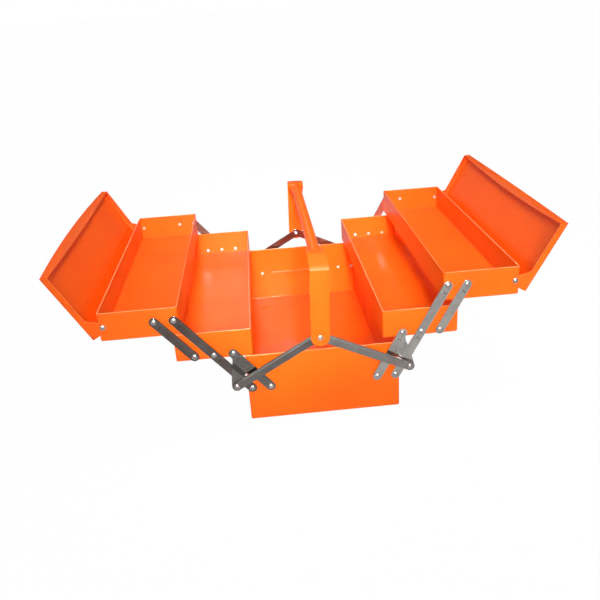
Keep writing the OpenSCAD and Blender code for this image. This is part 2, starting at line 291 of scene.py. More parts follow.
class Paint:
    # The node tree of a new material, or of the world
    def __init__(self, name, owner=None):
        self.material = owner or bpy.data.materials.new(name)
        self.material.use_nodes = True
        self.tree = self.material.node_tree
        self.tree.nodes.clear()

    def node(self, kind, settings=None, inputs=None, output=0):
        made = self.tree.nodes.new(kind)
        for name, value in (settings or {}).items():
            setattr(made, name, value)
        for name, value in (inputs or {}).items():
            socket = made.inputs[name]
            if isinstance(value, Wire):
                self.tree.links.new(value.socket, socket)
            elif isinstance(value, tuple) and len(value) == 3 and socket.type == "RGBA":
                socket.default_value = (*value, 1)
            else:
                socket.default_value = value
        return Wire(self, made.outputs[output])

    def place(self, stretch=(1, 1, 1)):
        spot = self.node("ShaderNodeTexCoord", output="Object")
        return self.node("ShaderNodeMapping", {}, {"Vector": spot, "Scale": stretch})

    def noise(self, scale, detail=2.0, rough=0.5, stretch=(1, 1, 1)):
        return self.node("ShaderNodeTexNoise", {}, {
            "Vector": self.place(stretch), "Scale": scale, "Detail": detail, "Roughness": rough})

    def remap(self, value, low, high, newLow, newHigh):
        return self.node("ShaderNodeMapRange", {}, {
            0: value, 1: low, 2: high, 3: newLow, 4: newHigh})

    def blendColours(self, factor, first, second):
        return self.node("ShaderNodeMix", {"data_type": "RGBA"}, {
            0: factor, 6: first, 7: second}, output=2)

    def bump(self, height, strength, distance):
        return self.node("ShaderNodeBump", {}, {
            "Height": height, "Strength": strength, "Distance": distance})

    def close(self, shader, kind="ShaderNodeOutputMaterial"):
        out = self.tree.nodes.new(kind)
        self.tree.links.new(shader.socket, out.inputs["Surface"])
        return self.material


# Finishes
paintValues = {
    # The rim colour is a painted highlight: a paler orange laid on faces that the pieces mark
    "colour": (1.0, 0.136, 0.0025), "deep": (0.96, 0.114, 0.002), "rim": (1.0, 0.40, 0.20),
    "rimHighlightShare": 0.7, "roughness": 0.38, "gloss": 0.25, "coat": 0.24, "coatRoughness": 0.08,
    "cloudScale": 9, "cloudRough": 0.10, "edges": (0.35, 0.65),
    "peelScale": 420, "peelSoft": 0.55, "peel": 0.10, "peelDeep": 0.3 * mm,
    "speckScale": 1500, "speckRough": 0.06, "speckShare": 0.3,
    "grainRough": 0.12, "grainPeel": 0.12, "grainCoat": (0.3, 1.7),
}
# The lids' copy of the powder coat has a darker colour and deep tone than the rest: painted shade
lidValues = {
    **paintValues, "colour": (1.0, 0.122, 0.001), "deep": (0.98, 0.106, 0.001), "gloss": 0.15,
    "coat": 0.5, "coatRoughness": 0.4, "speckScale": 650,
}


def orangePaint(name, values, grain=0.0):
    # Powder coat: a fine orange peel, small changes of colour and gloss
    paint = Paint(name)
    cloud = paint.noise(values["cloudScale"], 3)
    peel = paint.noise(values["peelScale"], 2, values["peelSoft"])
    speck = paint.noise(values["speckScale"], 1)
    mottle = paint.remap(cloud, *values["edges"], 0, 1)
    colour = paint.blendColours(mottle, values["colour"], values["deep"])
    # Faces marked rim turn a paler orange: a painted highlight
    rim = paint.node("ShaderNodeAttribute", {"attribute_name": "rim"}, output=2)
    colour = paint.blendColours(values["rimHighlightShare"] * rim, colour, values["rim"])
    rough = values["roughness"] + values["cloudRough"] * (cloud - 0.5)
    rough = rough + values["speckRough"] * (speck - 0.5) + values["grainRough"] * grain
    normal = paint.bump(
        peel + (values["speckShare"] + grain) * speck,
        values["peel"] + values["grainPeel"] * grain, values["peelDeep"])
    coat = values["coat"]
    if grain:
        # The pressed band beside the hinges is plain, the rest of the lid sparkles
        band = paint.node("ShaderNodeAttribute", {"attribute_name": "band"}, output=2)
        coat = coat * (1 - band) * paint.remap(speck, *values["edges"], *values["grainCoat"])
    return paint.close(paint.node("ShaderNodeBsdfPrincipled", {}, {
        "Base Color": colour, "Roughness": rough, "Normal": normal,
        "Specular IOR Level": values["gloss"], "Coat Weight": coat,
        "Coat Roughness": values["coatRoughness"]}))


# The dark and bar steels, for the left side, and the light and lightBar steels, for the right, are
# one zinc plate in shaded and lit copies: painted shade on the left, painted light on the right
steelValues = {
    "dark": {"colour": (0.30, 0.255, 0.235), "tarnish": (0.19, 0.145, 0.125)},
    "light": {"colour": (0.84, 0.82, 0.77), "tarnish": (0.62, 0.59, 0.55)},
    "bar": {"colour": (0.36, 0.34, 0.32), "tarnish": (0.26, 0.235, 0.22)},
    "lightBar": {"colour": (0.56, 0.53, 0.50), "tarnish": (0.38, 0.35, 0.33)},
    "rivet": {"colour": (0.66, 0.62, 0.61), "tarnish": (0.48, 0.44, 0.43),
              "tail": (0.66, 0.66, 0.72), "tailDull": 0.8, "wallPlay": 0.2 * mm},
    "washer": {"colour": (0.34, 0.33, 0.32), "tarnish": (0.2, 0.19, 0.18)},
}
plateValues = {
    "cloudScale": 38, "cloudSoft": 0.6, "cloudRough": 0.16, "edges": (0.45, 0.85),
    "drawnScale": 900, "drawnAlong": (1, 1, 12), "drawnShare": 0.25, "drawnRough": 0.10,
    "speckScale": 2600, "speckShare": 0.6, "bump": 0.10, "bumpDeep": 0.2 * mm,
}


def plateSteel(name, kind, roughness=0.2):
    # Dull zinc plate with drawn grain and darker clouds
    paint = Paint(name)
    values, plate = steelValues[kind], plateValues
    cloud = paint.noise(plate["cloudScale"], 4, plate["cloudSoft"])
    drawn = paint.noise(plate["drawnScale"], 2, 0.5, plate["drawnAlong"])
    speck = paint.noise(plate["speckScale"], 2)
    worn = paint.remap(cloud + plate["drawnShare"] * drawn, *plate["edges"], 0, 1)
    colour = paint.blendColours(worn, values["colour"], values["tarnish"])
    rough = roughness + plate["cloudRough"] * (cloud - 0.5) + plate["drawnRough"] * (drawn - 0.5)
    metal = 1.0
    if "tail" in values:
        # Inside the walls the rivets' tails are bright and bare
        spot = paint.node("ShaderNodeTexCoord", output="Object")
        along = paint.node("ShaderNodeSeparateXYZ", {}, {0: spot}, output=1)
        distance = paint.node("ShaderNodeMath", {"operation": "ABSOLUTE"}, {0: along})
        inside = paint.node("ShaderNodeMath", {"operation": "LESS_THAN"}, {
            0: distance, 1: halfLength - values["wallPlay"]})
        colour = paint.blendColours(inside, colour, values["tail"])
        metal = 1 - values["tailDull"] * inside
    normal = paint.bump(drawn + plate["speckShare"] * speck, plate["bump"], plate["bumpDeep"])
    return paint.close(paint.node("ShaderNodeBsdfPrincipled", {}, {
        "Base Color": colour, "Metallic": metal, "Roughness": rough, "Normal": normal}))


paintOut = orangePaint("orange powder coat", paintValues)
lidPaint = orangePaint("orange powder coat, grainy", lidValues, grain=1.0)
shadedLinkSteel = plateSteel("link plate dark", "dark")
litLinkSteel = plateSteel("link plate light", "light")
shadedBarSteel = plateSteel("handle link plate", "bar")
litBarSteel = plateSteel("handle link plate light", "lightBar")
fastenerSteel = {
    "rivet": plateSteel("rivet plate", "rivet", 0.27),
    "washer": plateSteel("washer plate", "washer", 0.4),
}
print("finishes made")

# Pans
panShape = {
    "corner": 2.4 * mm, "fold": 2.0 * mm, "sheet": 0.7 * mm, "hem": 1.6 * mm, "hemDepth": 5 * mm,
    "hemRound": 0.48, "cornerClear": 0.9, "sharp": 1.0, "highlightBand": 1 * mm, "highlightUp": 0.5,
}


def makePan(name, low, high, plainInner=False):
    # An open box: skin, hem folded in over the rim, then a wall's thickness
    shape = panShape
    pan = startCube(name, low, high)
    middle = (Vector(low) + Vector(high)) / 2
    width, length = high[0] - low[0], high[1] - low[1]
    openMesh(pan)
    pick(pan, "FACE", lambda place, n: n.z > facing)
    bpy.ops.mesh.delete(type="ONLY_FACE")
    pick(pan, "EDGE", lambda place, d: abs(d.z) > facing)
    bpy.ops.mesh.bevel(offset=shape["corner"], segments=6, affect="EDGES")
    pick(pan, "EDGE", lambda place, d: place.z < low[2] + tiny)
    bpy.ops.mesh.bevel(offset=shape["fold"], segments=4, affect="EDGES")
    # A plain inner wall has no hem
    start = low[0] + shape["corner"] * shape["cornerClear"]
    pick(pan, "EDGE", lambda place, d: place.z > high[2] - tiny and not (
        plainInner and place.x < start))
    bpy.ops.mesh.extrude_region_move(TRANSFORM_OT_translate={"value": (0, 0, 0)})
    shrink = (1 - 2 * shape["hem"] / width, 1 - 2 * shape["hem"] / length, 1)
    bpy.ops.transform.resize(value=shrink, center_override=(middle.x, middle.y, high[2]))
    bpy.ops.mesh.extrude_region_move(
        TRANSFORM_OT_translate={"value": (0, 0, -shape["hemDepth"])})
    # The hem's two creases along the rim are rounded
    mesh = bmesh.from_edit_mesh(pan.data)
    bpy.ops.mesh.select_all(action="DESELECT")
    for edge in mesh.edges:
        heights = [vertex.co.z for vertex in edge.verts]
        onRim = abs(heights[0] - heights[1]) < tiny and sum(heights) / 2 > high[2] - tiny
        if onRim and len(edge.link_faces) == 2 and edge.calc_face_angle(0) > shape["sharp"]:
            edge.select_set(True)
    bmesh.update_edit_mesh(pan.data)
    bpy.ops.mesh.bevel(offset=shape["hem"] * shape["hemRound"], segments=3, affect="EDGES")
    bpy.ops.mesh.select_all(action="SELECT")
    bpy.ops.mesh.remove_doubles(threshold=tiny)
    closeMesh()
    modify(pan, "SOLIDIFY", thickness=shape["sheet"], offset=-1, use_even_offset=True)
    return pan


def paintRimHighlight(piece, high):
    # A painted highlight: the up-facing faces along the top of the rim are marked for the paler
    # orange
    edge, up = high.z - panShape["highlightBand"], panShape["highlightUp"]
    markFaces(piece, "rim", lambda place, n: n.z > up and place.z > edge)


baseShape = {
    "rib": 4 * mm, "ribProud": 3.4 * mm, "ribRound": 1.1 * mm, "ribEnd": 17 * mm,
    "ribFoot": 0.35 * mm, "wall": 0.8 * mm, "over": 1 * mm,
    "dimple": 8 * mm, "dimpleHigh": 2.6 * mm, "dimpleTaper": 0.9 * mm, "dimpleRound": 0.5 * mm,
    "dimpleWall": 1 * mm, "dimpleFoot": 0.3 * mm, "dimpleX": 70 * mm, "dimpleEnd": 40 * mm,
}


def makeDimple(name, radius, height, low):
    shape = baseShape
    deselectAll()
    bpy.ops.mesh.primitive_cone_add(
        vertices=40, radius1=radius, radius2=radius - shape["dimpleTaper"], depth=height,
        location=(0, 0, low + height / 2))
    cone = bpy.context.object
    cone.name = name
    bpy.ops.object.transform_apply(location=True, rotation=True, scale=True)
    openMesh(cone)
    pick(cone, "EDGE", lambda place, d: place.z > low + height - tiny)
    bpy.ops.mesh.bevel(offset=shape["dimpleRound"], segments=3, affect="EDGES")
    closeMesh()
    return cone


def makeBase(name):
    shape = baseShape
    pan = makePan(name, boxLow, boxHigh)
    innerPin = pinOf("left", "crank_swing")
    half = innerPin.x - shape["ribEnd"] - shape["rib"] / 2
    ribPlace = Matrix.Translation((-half, 0, innerPin.z)) @ Matrix.Rotation(pi / 2, 4, "Y")
    for end, sy in ends.items():
        rib = startStrip("rib", 2 * half, shape["rib"] / 2,
                         -shape["ribProud"] - shape["wall"], -shape["ribFoot"])
        openMesh(rib)
        pick(rib, "EDGE", lambda place, d: place.y < -shape["ribProud"])
        bpy.ops.mesh.bevel(offset=shape["ribRound"], segments=4, affect="EDGES")
        closeMesh()
        rib.data.transform(ribPlace)
        rib.data.transform(sideMatrix("right", end))
        if sy < 0:
            rib.data.flip_normals()
        merge(pan, rib)
    # Dimples pressed up from below: a cone is added and a smaller one taken away
    high, foot, over = shape["dimpleHigh"], shape["dimpleFoot"], shape["over"]
    dimpleY = halfLength - shape["dimpleEnd"]
    for x in (-shape["dimpleX"], shape["dimpleX"]):
        for y in (-dimpleY, dimpleY):
            for kind, radius, height, low, operation in (
                    ("dimple", shape["dimple"], high + foot, panShape["sheet"] - foot, "UNION"),
                    ("hollow", shape["dimple"] - shape["dimpleWall"], high + over, -over,
                     "DIFFERENCE")):
                cone = makeDimple(kind, radius, height, low)
                cone.data.transform(Matrix.Translation((x, y, 0)))
                merge(pan, cone, operation=operation)
    return pan


basePan = makeBase("base_pan")
paintRimHighlight(basePan, boxHigh)
finishPiece(basePan, "base", "orange_paint", paintOut, "base_box")

for side in sides:
    for level, plainInner in (("middle", False), ("upper", True)):
        node = side + "_" + level + "_tray"
        low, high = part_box(node)
        if side == "left":
            low, high = Vector((-high.x, low.y, low.z)), Vector((-low.x, high.y, high.z))
        tray = makePan("tray", low, high, plainInner)
        piece = copyTo(tray, node + "_pan", Matrix.Diagonal((sides[side], 1, 1, 1)))
        bpy.data.objects.remove(tray)
        paintRimHighlight(piece, high)
        finishPiece(piece, side + "_" + level, "orange_paint", paintOut, node)
print("pans made")

# Rivets and washers in millimetres: radii, and places along y from an end wall's outer face
rivetShape = {
    "shank": 2.0, "head": 3.6, "headHigh": 1.6, "headEdge": 0.4, "tail": 2.6, "tailHigh": 0.9,
    "wall": (-0.8, 3.6), "lid": (-0.8, 1.25), "armFoot": 5.5, "handleFoot": 12.5, "handlePlay": 0.1,
}
# The handle's rivets end in a tail of their own, given as (radius, height)
tailProfile = [
    (0, 6.9), (1.1, 6.9), (1.35, 6.55), (1.7, 6.4), (2.3, 6.45), (2.9, 6.75), (3.0, 7.2),
    (3.0, 7.4), (1.9, 7.4), (1.9, 9.0), (0, 9.0),
]
washerShape = {"outer": 5.0, "inner": 2.06, "bore": 0.15, "edge": 0.25, "wall": 1.6, "arm": 2.6}


def makeRivet(name, start, stop, tail=True):
    # A domed head at stop and a rolled, hollow tail at start
    shape = rivetShape
    head, high, shank = shape["head"], shape["headHigh"], shape["shank"]
    edge = shape["headEdge"]
    if tail:
        low, rim = start - shape["tailHigh"], shape["tail"]
        profile = [
            (0, start - 0.1), (1.1, start - 0.1), (1.35, low + 0.25), (1.6, low + 0.04),
            (1.9, low), (rim - 0.35, low + 0.12), (rim - 0.08, low + 0.4), (rim, start - 0.15),
            (rim - 0.1, start), (shank, start)]
    else:
        profile = [(0, start), (shank - 0.3, start), (shank, start + 0.3)]
    profile += [(shank, stop), (head - 0.2, stop), (head, stop + 0.15), (head - 0.02, stop + edge)]
    ball = (head ** 2 + (high - edge) ** 2) / (2 * (high - edge))
    steps = 6
    for i in range(1, steps + 1):
        r = head * (1 - i / steps)
        profile.append((r, stop + high - ball + sqrt(ball ** 2 - r ** 2)))
    return lathe(name, profile)


def makeWasher(name, thick):
    outer, inner = washerShape["outer"], washerShape["inner"]
    bore, edge = washerShape["bore"], washerShape["edge"]
    return lathe(name, [
        (inner, bore), (inner, thick - bore), (inner + bore, thick), (outer - edge, thick),
        (outer, thick - edge), (outer, edge), (outer - edge, 0), (inner + bore, 0), (inner, bore)])


def makeFasteners(template, node, body, kind, sets):
    parts = []
    for side, places in sets:
        for end in ends:
            for place in places:
                view = sideMatrix(side, end) @ Matrix.Translation(place)
                parts.append(copyTo(template, node, view))
    piece = joinAll(node + "_set", parts)
    finishPiece(piece, body, kind, fastenerSteel[kind], node, angle=30)


wallRivet = makeRivet("wall_rivet", *rivetShape["wall"])
lidRivet = makeRivet("lid_rivet", *rivetShape["lid"])
wallWasher = makeWasher("wall_washer", washerShape["wall"])

basePins = [(side, [pinOf(side, "crank_swing"), pinOf(side, "trays_swing")]) for side in sides]
makeFasteners(wallRivet, "base_pivot_rivets", "base", "rivet", basePins)
makeFasteners(wallWasher, "base_spacers", "base", "washer", basePins)
pitch = (pinOf("left", "trays_swing") - pinOf("left", "crank_swing")).x
step = Vector((pitch, 0, 0))
for side in sides:
    middle, upper = pinOf(side, "middle_tray_swing"), pinOf(side, "upper_tray_swing")
    for level, places in (
            ("middle", [middle - step, middle, middle + step]), ("upper", [upper, upper + step])):
        tray, body = side + "_" + level + "_tray", side + "_" + level
        makeFasteners(wallRivet, tray + "_rivets", body, "rivet", [(side, places)])
        makeFasteners(wallWasher, tray + "_spacers", body, "washer", [(side, places)])
    hinge, eye = pinOf(side, "lid_hinge"), pinOf(side, "handle_link_swing")
    makeFasteners(lidRivet, side + "_lid_hinge_rivets", side + "_upper", "rivet", [(side, [hinge])])
    barTop = (layers[side + "Bar"] + layers["strip"] + layers["play"]) / mm
    armRivet = makeRivet("arm_rivet", rivetShape["armFoot"], barTop)
    makeFasteners(armRivet, side + "_crank_rivets", side + "_cranks", "rivet", [(side, [eye])])
    bpy.data.objects.remove(armRivet)
armWasher = makeWasher("arm_washer", washerShape["arm"])
armPlace = pinOf("right", "handle_link_swing") + Vector((0, layers["armWasher"], 0))
makeFasteners(armWasher, "right_crank_spacers", "right_cranks", "washer", [("right", [armPlace])])
handlePin = pins["handle_tilt"]
pinSpot = Vector((handlePin.x, 0, handlePin.z))
strapTop = (layers["strap"] + layers["strip"]) / mm + rivetShape["handlePlay"]
handleRivet = makeRivet("handle_rivet", rivetShape["handleFoot"], strapTop, tail=False)
tailRivet = lathe("tail", tailProfile)
for template, node, body in ((handleRivet, "handle_rivets", "handle_pivots"),
                             (tailRivet, "handle_rivet_tails", "left_handle_links")):
    makeFasteners(template, node, body, "rivet", [("right", [pinSpot])])
for template in (wallRivet, lidRivet, wallWasher, armWasher, handleRivet, tailRivet):
    bpy.data.objects.remove(template)
print("rivets and washers made")

# Links
linkShape = {
    "radius": 6 * mm, "edge": 0.4 * mm, "panel": 4.2 * mm, "panelEnd": 9.5 * mm,
    "panelDeep": 0.6 * mm, "panelOver": 0.03 * mm, "panelRound": 1.1 * mm,
    "insets": ((0.9 * mm, 0.385 * mm), (0.25 * mm, 0.08 * mm)),
}
linkLength = (pinOf("left", "middle_tray_swing") - pinOf("left", "trays_swing")).length
leftEye = pinOf("left", "handle_link_swing")
barLength = (pinSpot - Vector((-leftEye.x, 0, leftEye.z))).length


def raisePanel(start, stop, base):
    # A flat-topped panel pressed out of a strip, with sloping sides
    shape = linkShape
    half = shape["panel"]
    panel = startCube("panel", (-half, base - shape["panelDeep"], start),
                      (half, base + shape["panelOver"], stop))
    openMesh(panel)
    pick(panel, "EDGE", lambda place, d: abs(d.y) > facing)
    bpy.ops.mesh.bevel(offset=shape["panelRound"], segments=3, affect="EDGES")
    pick(panel, "FACE", lambda place, n: n.y > facing)
    for inward, up in shape["insets"]:
        bpy.ops.mesh.inset(thickness=inward, depth=up)
    closeMesh()
    return panel


def makeLink(name, spans):
    link = startStrip(name, sum(spans), linkShape["radius"], 0, layers["strip"])
    roundEdges(link, linkShape["edge"])
    foot, end = 0, linkShape["panelEnd"]
    for span in spans:
        merge(link, raisePanel(foot + end, foot + span - end, layers["strip"]))
        foot += span
    return link


# The plateau steps and the panels' ends lie along the plate, the web across it
crankShape = {
    "eyeAlong": 33.4 * mm, "eyeOut": 29 * mm, "eye": 6.5 * mm, "notch": 0.54, "webTop": 0.94,
    "webIn": 9 * mm, "webOut": 15 * mm, "webPlay": 0.1 * mm, "notchPlay": 0.5 * mm,
    "plateau": 0.9 * mm, "plateauSteps": (31 * mm, 37.5 * mm, 61.5 * mm, 64.2 * mm),
    "stepRound": 0.9 * mm, "stepAngle": radians(8), "lowPanel": (7.5 * mm, 5 * mm),
    "highPanel": (1.8 * mm, 1.5 * mm),
}


def crankOutline():
    # The plate, a notch, the arm's eye and the way back to the plate's top, as (out, along)
    shape = crankShape
    r, eye = linkShape["radius"], (shape["eyeOut"], shape["eyeAlong"])
    notch, top = shape["notch"] * linkLength, linkLength
    bend = 0.57 * eye[0]
    outline = arc((0, 0), r, 180, 360, 14)
    outline += [(r, notch - 4 * mm), (r + 0.6 * mm, notch - 1.2 * mm), (r + 2.6 * mm, notch)]
    outline += [(bend - 1 * mm, notch), (bend + 1 * mm, notch - 1 * mm)]
    outline += arc(eye, shape["eye"], 255, 404, 18)
    outline += [(0.66 * eye[0], 0.77 * top), (r + 0.4 * mm, 0.93 * top - 0.6 * mm)]
    return outline + arc((0, top), r, 0, 180, 14)


def makeCrank(name):
    shape = crankShape
    crank = drawFace(name, [(out, 0, along) for out, along in crankOutline()])
    fold, out = shape["webIn"], shape["webOut"]
    lowFoot, lowTop, highTop, highFoot = shape["plateauSteps"]
    lift, strip = layers["arm"] - layers["link"], layers["strip"]
    armFrom, armTo = shape["notch"] * linkLength - shape["notchPlay"], shape["webTop"] * linkLength
    openMesh(crank)
    cutAcross(0, (fold, out))
    cutAcross(2, shape["plateauSteps"])

    def press(p):
        # Up the plateau's steps along the plate, and up the web to the arm
        up = share = 0
        if lowFoot < p.z <= highFoot:
            up = min(1, (p.z - lowFoot) / (lowTop - lowFoot),
                     (highFoot - p.z) / (highFoot - highTop))
        if armFrom < p.z < armTo or p.x > linkShape["radius"] + shape["webPlay"]:
            share = min(1, max(0, (p.x - fold) / (out - fold)))
        raised = up * shape["plateau"]
        p.y = raised + (lift - raised) * share
        return p

    reshape(crank, press)
    closeMesh()
    modify(crank, "BEVEL", width=shape["stepRound"], segments=3, limit_method="ANGLE",
           angle_limit=shape["stepAngle"])
    modify(crank, "SOLIDIFY", thickness=strip, offset=1, use_even_offset=True)
    roundEdges(crank, linkShape["edge"])
    (lowStart, lowStop), (highStart, highStop) = shape["lowPanel"], shape["highPanel"]
    merge(crank, raisePanel(lowStart, lowFoot - lowStop, strip))
    merge(crank, raisePanel(lowTop + highStart, highTop - highStop, strip + shape["plateau"]))
    return crank


longLink = makeLink("long_link", [linkLength, linkLength])
shortLink = makeLink("short_link", [linkLength])
barLink = makeLink("bar_link", [barLength])
crankPlate = makeCrank("crank_plate")
# Left pieces get the shaded copies of the plate, right pieces the lit ones: painted shade and
# painted light
linkSteel = {
    "left": {"link": shadedLinkSteel, "crank": shadedBarSteel, "bar": shadedBarSteel},
    "right": {"link": litLinkSteel, "crank": litLinkSteel, "bar": litBarSteel},
}

for side in sides:
    base, inner = pinOf(side, "trays_swing"), pinOf(side, "crank_swing")
    swing = pinOf(side, "middle_tray_swing") - base
    lean = atan2(swing.x, swing.z)
    short, eye = pinOf(side, "short_link_swing"), pinOf(side, "handle_link_swing")
    reach = Vector((pinSpot.x * sides[side], 0, pinSpot.z)) - eye
    barLean = atan2(reach.x, reach.z)
    flat, bar, steel = layers["link"], layers[side + "Bar"], linkSteel[side]
    for end in ends:
        view = sideMatrix(side, end)
        for template, kind, pin, turn, out, finish in (
                (longLink, "long_link", base, lean, flat, steel["link"]),
                (shortLink, "short_link", short, lean, flat, steel["link"]),
                (crankPlate, "crank", inner, lean, flat, steel["crank"]),
                (barLink, "handle_link", eye, barLean, bar, steel["bar"])):
            node = "_".join((side, end, kind))
            piece = copyTo(template, node + "_plate", view @ stand(pin, turn, out))
            finishPiece(piece, side + "_" + kind + "s", "link_steel", finish, node, angle=12)
for template in (longLink, shortLink, barLink, crankPlate):
    bpy.data.objects.remove(template)
print("links made")

# Lids, drawn closed about the hinge: x inwards is negative
lidShape = {
    "inside": 19.792 * mm, "top": 20.592 * mm, "back": 7.1 * mm, "front": 92.2 * mm,
    "depth": 8.5 * mm, "slant": radians(32), "backLow": 10.338 * mm, "sheet": 0.8 * mm,
    "ear": 5.6 * mm, "earSpread": 19 * mm, "earCuts": 14, "open": radians(119),
    "end": halfLength + 1.15 * mm, "flangeEnd": halfLength - 2.1 * mm, "fold": 1.5 * mm,
    "lip": 5.6 * mm, "lipLeast": 0.04, "lipZone": 80 * mm, "flangeZone": 75 * mm,
    "crown": 6.5 * mm, "crownPower": 1.5, "bowPower": 3, "lengthCuts": 24, "edge": 0.25 * mm,
    "flangeTurn": (-0.75, 0.6), "under": -0.8, "lipHighlightShare": 0.18, "lipBelow": 2 * mm,
    "earHighlightShare": 0.7, "earPlay": 0.05 * mm, "earEdge": 0.3 * mm, "zone": 1 * mm,
}
lidBow = {"left": 3.0 * mm, "right": 0.0}


def makeLid(name, bow):
    shape = lidShape
    top, back, front, ear = shape["top"], shape["back"], shape["front"], shape["earSpread"]
    low, slope = top - shape["depth"], shape["depth"] * tan(shape["slant"])
    foot, flangeEnd = slope - front, shape["flangeEnd"]
    nearEnd, nearBack = shape["end"] - 10 * tiny, back - shape["earPlay"]
    lid = startCube(name, (-front, -shape["end"], low), (back, shape["end"], top))
    openMesh(lid)
    pick(lid, "FACE", lambda place, n: n.z < -facing)
    bpy.ops.mesh.delete(type="ONLY_FACE")
    pick(lid, "VERT", lambda place, n: place.x < 0 and place.z < low + tiny)
    bpy.ops.transform.translate(value=(slope, 0, 0))
    cutAcross(0, (-ear,))
    # The ear grows down from the end flange's lower edge
    pick(lid, "EDGE", lambda place, d: (
        place.z < low + tiny and abs(place.y) > nearEnd and place.x > -ear))
    cuts = shape["earCuts"]
    bpy.ops.mesh.subdivide(number_cuts=cuts)
    outline = arc((0, 0), shape["ear"], 215, 360, cuts - 1)
    spread = [-ear + i * (back + ear) / (cuts + 1) for i in range(cuts + 2)]

    def toEar(p):
        if abs(p.z - low) > tiny or abs(p.y) < nearEnd:
            return p
        for i, x in enumerate(spread[1:-1]):
            if abs(p.x - x) < shape["earPlay"]:
                return Vector((outline[i][0], p.y, outline[i][1]))
        if p.x > nearBack:
            p.z = shape["backLow"]
        return p

    reshape(lid, toEar)
    pick(lid, "EDGE", lambda place, d: place.z > top - tiny and (
        abs(place.y) > shape["end"] - tiny or place.x < tiny - front or place.x > back - tiny))
    bpy.ops.mesh.bevel(offset=shape["fold"], segments=4, affect="EDGES")
    # The return lip, then cuts for the crown: along the lid, and across at tenths of its width
    pick(lid, "EDGE", lambda place, d: (
        abs(d.y) > facing and place.z < low + tiny and place.x < -shape["lipZone"]))
    bpy.ops.mesh.extrude_region_move(TRANSFORM_OT_translate={"value": (shape["lip"], 0, 0)})
    count = shape["lengthCuts"]
    cutAcross(1, [flangeEnd * (2 * i / count - 1) for i in range(count + 1)])
    cutAcross(0, [-front * i / 10 for i in range(2, 8)])

    def pastFlange(place, n):
        # The front flange and its lip stop short of the end flanges
        onFlange = n.x < shape["flangeTurn"][0] and n.z < shape["flangeTurn"][1]
        onLip = abs(n.z) > facing and place.z < low + tiny and place.x > foot
        return abs(place.y) > flangeEnd and (onFlange or onLip)

    pick(lid, "FACE", pastFlange)
    bpy.ops.mesh.delete(type="FACE")

    def crown(p):
        share = max(0, 1 - (p.y / flangeEnd) ** 2)
        onLip = abs(p.z - low) < tiny and foot + tiny < p.x < -shape["flangeZone"]
        if onLip and abs(p.y) < nearEnd:
            p.x = foot + (p.x - foot) * max(share, shape["lipLeast"])
        across = min(1, max(0, -p.x / front)) ** shape["crownPower"]
        p.z += shape["crown"] * share * across
        p.x -= bow * share * across ** shape["bowPower"]
        return p

    reshape(lid, crown)
    closeMesh()
    modify(lid, "SOLIDIFY", thickness=shape["sheet"], offset=-1, use_even_offset=True)
    roundEdges(lid, shape["edge"], 2, 60)
    # What the paint tells apart: the lip and the ears' cut edges, marked for a painted highlight in
    # paler orange, and the band beside the hinges
    under, zone = shape["under"], shape["zone"]
    markFaces(lid, "rim", lambda place, n: (
        n.z < under and place.x < -shape["flangeZone"]
        and place.z < top - shape["lipBelow"]), shape["lipHighlightShare"])
    markFaces(lid, "rim", lambda place, n: (
        abs(n.y) < facing and abs(place.y) > shape["end"] - zone
        and place.z < low + shape["earEdge"] and place.x < back - zone), shape["earHighlightShare"])
    markFaces(lid, "band", lambda place, n: (
        n.z < under and place.x > -ear and place.z > shape["inside"] - zone))
    return lid


for side in sides:
    lid = makeLid("lid", lidBow[side])
    view = Matrix.Diagonal((sides[side], 1, 1, 1))
    opened = view @ stand(pinOf(side, "lid_hinge"), lidShape["open"])
    piece = copyTo(lid, side + "_lid_sheet", opened)
    bpy.data.objects.remove(lid)
    finishPiece(piece, side + "_lid", "orange_paint", lidPaint, side + "_lid")
print("lids made")

# Handle
handleShape = {
    "width": 24 * mm, "thick": 1.8 * mm, "rise": 100.5 * mm, "lean": radians(2), "bend": 6 * mm,
    "bendTurn": 78, "flat": 37 * mm, "taper": 38 * mm, "curl": 0.75, "gripRadius": 7.6 * mm,
    "gripTurn": radians(98), "step": 5.2 * mm, "stepLong": 12 * mm, "edge": 0.4 * mm, "columns": 24,
    "gripRows": 15, "levelRows": 3, "slopeRows": 6, "bendRows": 8, "legRows": 10, "footRows": 12,
}


def handlePath():
    # Rows from the middle of the grip to the foot: place out, place up, curl, half width
    shape = handleShape
    radius, rise, bend = shape["width"] / 2, shape["rise"], shape["bend"]
    out = halfLength + layers["strap"] + shape["thick"]
    flatEnd = out - bend - shape["flat"]
    taperEnd = flatEnd - shape["taper"]
    low = rise - shape["step"]
    rows, count = [], shape["gripRows"]
    for i in range(count):
        rows.append((taperEnd * i / count, rise, 1.0, None))
    for i in range(count):
        share = i / (count - 1)
        rows.append((taperEnd + shape["taper"] * share, rise, (1 - share) ** shape["curl"], None))
    # A level stretch, then an even slope down to the bend
    start, stop, count = flatEnd + shape["stepLong"], out - bend, shape["levelRows"]
    for i in range(1, count + 1):
        rows.append((flatEnd + shape["stepLong"] * i / count, rise, 0.0, None))
    for i in range(1, shape["slopeRows"] + 1):
        share = i / shape["slopeRows"]
        rows.append((start + (stop - start) * share, rise - shape["step"] * share, 0.0, None))
    turned = arc((stop, low - bend), bend, 0, shape["bendTurn"], shape["bendRows"])
    for y, z in reversed(turned[:-1]):
        rows.append((y, z, 0.0, None))
    for i in range(1, shape["legRows"] + 1):
        rows.append((out, (low - bend) * (1 - i / shape["legRows"]), 0.0, None))
    for i in range(1, shape["footRows"] + 1):
        turn = pi / 2 * i / shape["footRows"]
        rows.append((out, -radius * sin(turn), 0.0, radius * cos(turn)))
    return rows


